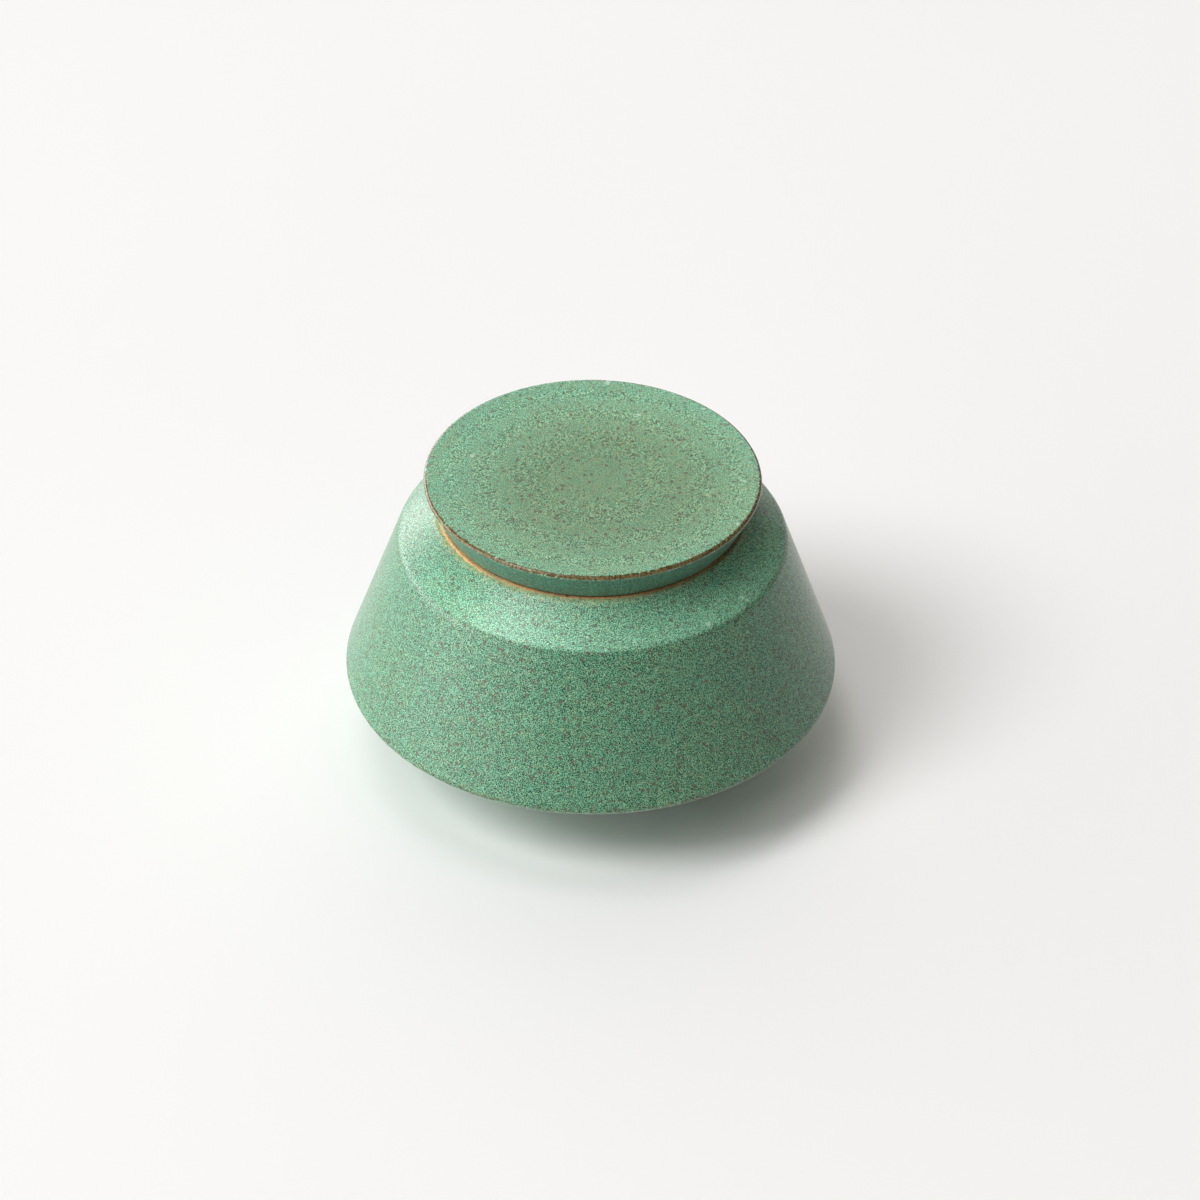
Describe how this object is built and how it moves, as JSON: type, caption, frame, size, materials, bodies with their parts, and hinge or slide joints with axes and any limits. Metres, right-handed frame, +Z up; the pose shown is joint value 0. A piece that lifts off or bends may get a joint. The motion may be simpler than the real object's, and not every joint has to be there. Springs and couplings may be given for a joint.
{
  "type": "lidded jar",
  "caption": "Squat lidded stoneware jar with a matte speckled green glaze: flared walls, a sharp widest edge, a small foot ring and a flared disc lid that seats on a flat bare ledge.",
  "frame": {"origin": "centre of the foot ring at table level", "axes": "+Z up along the axis of turning, from the foot to the lid; the shape is the same all round, so X and Y are any two square directions"},
  "size_m": [0.14, 0.14, 0.0903],
  "materials": {
    "fired_clay": "matte",
    "green_glaze": "matte",
    "liner_glaze": "satin"
  },
  "bodies": {
    "jar": {"jar_body": "fired_clay", "jar_glaze": "green_glaze", "jar_liner_glaze": "liner_glaze"},
    "lid": {"lid_body": "fired_clay", "lid_glaze": "green_glaze", "lid_liner_glaze": "liner_glaze"}
  },
  "joints": [
    {"name": "lid_lift", "type": "slide", "parent": "jar", "child": "lid", "axis": [0, 0, 1], "range_m": [0, 0.06]}
  ]
}
